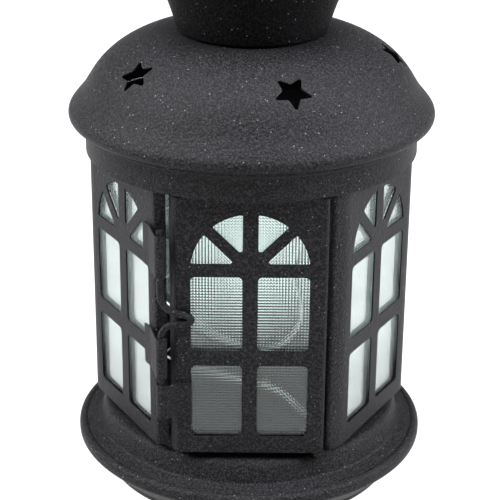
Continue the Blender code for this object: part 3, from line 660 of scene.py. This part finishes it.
def build_cup():
    outer = filleted([(37.0, CUP_TOP + 0.0, 0), (38.4, CUP_TOP, 0.5), (38.2, 202.2, 0.6)], 3)[1:-1]
    outer += flowing([(37.6, 201.7), (36.4, 200.3), (34.7, 197.4), (33.2, 194.2), (31.9, 191.0),
                      (30.7, 187.6), (29.7, 184.4), (28.9, 181.8), (28.5, 180.6),
                      (27.6, CUP_BOTTOM)], 4)
    outer += [(23.0, CUP_BOTTOM)]
    # the cup's coat is darkened, partly as painted shade
    cup = add_piece("solar_cup_visual", lathe(shell(outer)), "matte_and_shaded_cup_coat",
                    replaces=("solar_cup",))
    carve(cup, [rivet_hole(side) for side in (-1, 1)])


# ---------------------------------------------------------------- body, door and latch
FLAT = 2 * (BODY_APOTHEM - CORNER_R) * math.tan(math.radians(30))
CORNER = CORNER_R - SHEET / 2
FIXED_FACES = (-60, -120, 180, 120, 60)
LEFT_CORNER_LEFT, RIGHT_CORNER_LEFT = 8.0, 31.0
JAMB, JAMB_BEND, RETURN = 3.2, 58.0, 1.6
PANEL_NAMES = ("left_front", "left_back", "back", "right_back", "right_front")


def build_body():
    runs = [("line", JAMB), ("bend", 1.2, -JAMB_BEND), ("bend", CORNER, -LEFT_CORNER_LEFT)]
    for side in range(5):
        runs += [("line", FLAT), ("bend", CORNER, -60.0 if side < 4 else -RIGHT_CORNER_LEFT)]
    runs += [("bend", 1.2, -90), ("line", RETURN)]
    lead = JAMB + 1.2 * math.radians(JAMB_BEND) + CORNER * math.radians(LEFT_CORNER_LEFT)
    pitch = FLAT + CORNER * math.radians(60)
    middles = [lead + FLAT / 2 + pitch * side for side in range(5)]
    path = PlanPath(runs, middles[2], (0.0, BODY_APOTHEM - SHEET / 2), 0.0)
    openings = [[(x + s, z) for x, z in outline] for s in middles for outline in window_outlines()]
    mesh = folded_mesh(path, BODY_BOTTOM, BODY_TOP, openings, degrees=4)
    add_piece("body_shell_visual", mesh, "black_powder_coat", replaces=("body_shell",))


HINGE_Y = -(DOOR_FACE - SHEET / 2 - HINGE_ROLL_R)


def build_door():
    roll = math.radians(280) * HINGE_ROLL_R
    flat = HINGE_X - DOOR_LEFT_X
    runs = [("bend", HINGE_ROLL_R, -280), ("line", flat), ("bend", 1.5, -70), ("line", 4.5)]
    path = PlanPath(runs, roll, (HINGE_X, HINGE_Y - HINGE_ROLL_R), 180.0)
    middle = roll + HINGE_X
    openings = [[(middle - x, z) for x, z in outline][::-1] for outline in window_outlines()]
    mesh = folded_mesh(path, BODY_BOTTOM, DOOR_TOP, openings, degrees=10)
    add_piece("door_frame_visual", mesh, "black_powder_coat", "door", ("door_frame",))


def pane_mesh(face, near):
    """A pane with a pressed relief of square pillows on its outer face."""
    cells_x = round(2 * GLASS_HALF / RELIEF_PITCH)
    cells_z = round((GLASS_TOP - GLASS_BOTTOM) / RELIEF_PITCH)
    xs = np.linspace(-GLASS_HALF, GLASS_HALF, cells_x * RELIEF_CUTS + 1)
    zs = np.linspace(GLASS_BOTTOM, GLASS_TOP, cells_z * RELIEF_CUTS + 1)
    across = np.abs(np.arange(len(xs)) % RELIEF_CUTS / RELIEF_CUTS * 2 - 1)
    upright = np.abs(np.arange(len(zs)) % RELIEF_CUTS / RELIEF_CUTS * 2 - 1)
    height = np.outer(1 - upright ** 3, 1 - across ** 3)
    rows, columns = len(zs), len(xs)
    front = np.stack([np.tile(xs, rows), -near + (1 - height.ravel()) * RELIEF_DEPTH,
                      np.repeat(zs, columns)], axis=1)
    edge = [c for c in range(columns)]
    edge += [r * columns + columns - 1 for r in range(1, rows)]
    edge += [(rows - 1) * columns + c for c in range(columns - 2, -1, -1)]
    edge += [r * columns for r in range(rows - 2, 0, -1)]
    back = front[edge].copy()
    back[:, 1] = -near + GLASS_T
    verts = np.vstack([front, back]) * MM
    faces = []
    for r in range(rows - 1):
        for c in range(columns - 1):
            a = r * columns + c
            faces.append((a, a + 1, a + columns + 1, a + columns))
    total, count = len(front), len(edge)
    for k in range(count):
        j = (k + 1) % count
        faces.append((edge[j], edge[k], total + k, total + j))
    faces.append(tuple(range(total + count - 1, total - 1, -1)))
    mesh = bpy.data.meshes.new("pane")
    mesh.from_pydata(verts.tolist(), [], faces)
    mesh.transform(Matrix.Rotation(math.radians(face), 4, "Z"))
    return mesh


def build_glass():
    for label, face in zip(PANEL_NAMES, FIXED_FACES):
        add_piece(f"{label}_pane", pane_mesh(face, BODY_APOTHEM - SHEET - GAP), "patterned_glass",
                  "lantern", (f"{label}_glass",), smooth=60)
    add_piece("door_pane", pane_mesh(0, DOOR_FACE - SHEET - GAP), "patterned_glass", "door",
              ("door_glass",), smooth=60)


def build_latch():
    lean = 15.4
    strap_out = BODY_APOTHEM + GAP + STRAP / 2
    heading = math.radians(-60 - lean)
    left = Vector((-math.sin(heading), math.cos(heading)))
    tangent = Vector((LATCH_X, LATCH_Y)) - left * ROLL_R
    face = Vector((-math.cos(math.radians(30)), -math.sin(math.radians(30))))
    reach = (tangent.dot(face) - strap_out) / math.sin(math.radians(lean))
    bend = 2.0
    free = reach - bend * math.tan(math.radians(lean / 2))
    runs = [("line", 4.5), ("bend", bend, -lean), ("line", free), ("bend", ROLL_R, 300)]
    path = PlanPath(runs, 4.5 + bend * math.radians(lean) + free, tuple(tangent), -60 - lean)
    for name, (low, high) in (("upper", UPPER_KNUCKLE), ("lower", LOWER_KNUCKLE)):
        mesh = folded_mesh(path, low, high, thickness=STRAP, degrees=7, corner=0.5)
        add_piece(f"{name}_knuckle_visual", mesh, "black_powder_coat", "lantern",
                  (f"{name}_latch_knuckle",))
    strap_y = -(DOOR_FACE + GAP + STRAP / 2)
    bend = 0.8
    rise = strap_y - (LATCH_Y - ROLL_R)
    slope = (rise - 2 * bend * (1 - math.cos(math.radians(45)))) / math.sin(math.radians(45))
    sideways = 2 * bend * math.sin(math.radians(45)) + slope * math.cos(math.radians(45))
    joggle_x = -27.0
    after = (joggle_x - sideways) - LATCH_X
    runs = [("line", 5.5), ("bend", bend, 45), ("line", slope), ("bend", bend, -45),
            ("line", after), ("bend", ROLL_R, -215)]
    path = PlanPath(runs, 5.5, (joggle_x, strap_y), 180.0)
    mesh = folded_mesh(path, *TAB_HEIGHTS, thickness=STRAP, degrees=7, corner=0.4)
    add_piece("latch_tab_visual", mesh, "black_powder_coat", "door", ("latch_tab",))
    route = [(0.0, 121.0), (0.0, 108.0), (0.0, 95.0), (0.6, 92.8), (2.3, 90.4), (4.8, 88.9),
             (8.0, 87.9), (10.3, 86.9), (11.3, 85.8), (10.3, 84.7), (8.0, 84.2), (5.0, 84.0),
             (2.5, 83.2), (0.6, 81.0), (0.0, 78.8), (0.0, 65.0), (0.0, 51.0)]
    points = [(LATCH_X + x, LATCH_Y, z) for x, z in flowing(route, 5)]
    add_piece("latch_wire_visual", wire_curve("latch_wire_visual", points, WIRE_R, 6),
              "black_powder_coat", "latch", ("latch_wire",))


# ---------------------------------------------------------------- CAD nodes that stay
STAYING = {
    "_holder": "inside_coat", "_contact": "bright_steel", "_rivet": "bright_steel",
    "_screw": "bright_steel", "_pin": "bright_steel", "_plate": "black_powder_coat",
    "floor_tray": "inside_coat", "solar_housing": "black_plastic",
    "battery_cover": "black_plastic",
    "power_switch": "black_plastic", "solar_cell": "solar_cell", "solar_cover": "clear_cover",
    "cover_seal": "rubber", "cable_grommet": "rubber", "circuit_board": "green_board",
    "battery": "battery_wrap",
}


def paint_nodes():
    for name, node in NODES.items():
        chosen = [m for key, m in STAYING.items() if name == key or
                  (key.startswith("_") and name.endswith(key))]
        if chosen:
            node.data.materials.clear()
            node.data.materials.append(MATERIALS[chosen[0]])


# ---------------------------------------------------------------- floor and light
def build_stage():
    size = 40.0
    mesh = bpy.data.meshes.new("floor")
    mesh.from_pydata([(-size, -size, 0), (size, -size, 0), (size, size, 0), (-size, size, 0)], [],
                     [(0, 1, 2, 3)])
    t = Tree("pale_floor")
    mesh.materials.append(t.finish(
        Base_Color=t.mix(t.noise(3.0), (0.16, 0.16, 0.16, 1.0), (0.18, 0.18, 0.18, 1.0)),
        Roughness=0.8, Emission_Color=(1.0, 1.0, 1.0, 1.0), Emission_Strength=0.93))
    floor = bpy.data.objects.new("floor", mesh)
    bpy.context.scene.collection.objects.link(floor)


def add_light(name, place, aim, size, power, colour=(1, 1, 1)):
    data = bpy.data.lights.new(name, "AREA")
    data.shape = "DISK"
    data.size = size
    data.energy = power
    data.color = colour
    light = bpy.data.objects.new(name, data)
    bpy.context.scene.collection.objects.link(light)
    light.location = place
    light.rotation_euler = (Vector(aim) - Vector(place)).to_track_quat("-Z", "Y").to_euler()


def build_light():
    world = bpy.data.worlds.new("studio")
    world.use_nodes = True
    background = world.node_tree.nodes["Background"]
    background.inputs["Color"].default_value = (1.0, 1.0, 1.0, 1.0)
    background.inputs["Strength"].default_value = 0.12
    bpy.context.scene.world = world
    bpy.context.scene.view_settings.view_transform = "Standard"
    add_light("overhead", (-0.05, -0.05, 1.0), (0, 0, 0.1), 1.3, 27.0, (0.93, 0.94, 1.0))
    add_light("left", (-0.80, -0.10, 0.65), (0, 0, 0.1), 0.6, 13.0, (0.97, 0.97, 1.0))
    add_light("right", (0.80, -0.10, 0.60), (0, 0, 0.1), 0.6, 15.0, (0.93, 0.95, 1.0))


build_camera()
build_light_string()
build_base()
build_roof()
build_cup()
build_body()
build_door()
build_glass()
build_latch()
paint_nodes()
build_stage()
build_light()
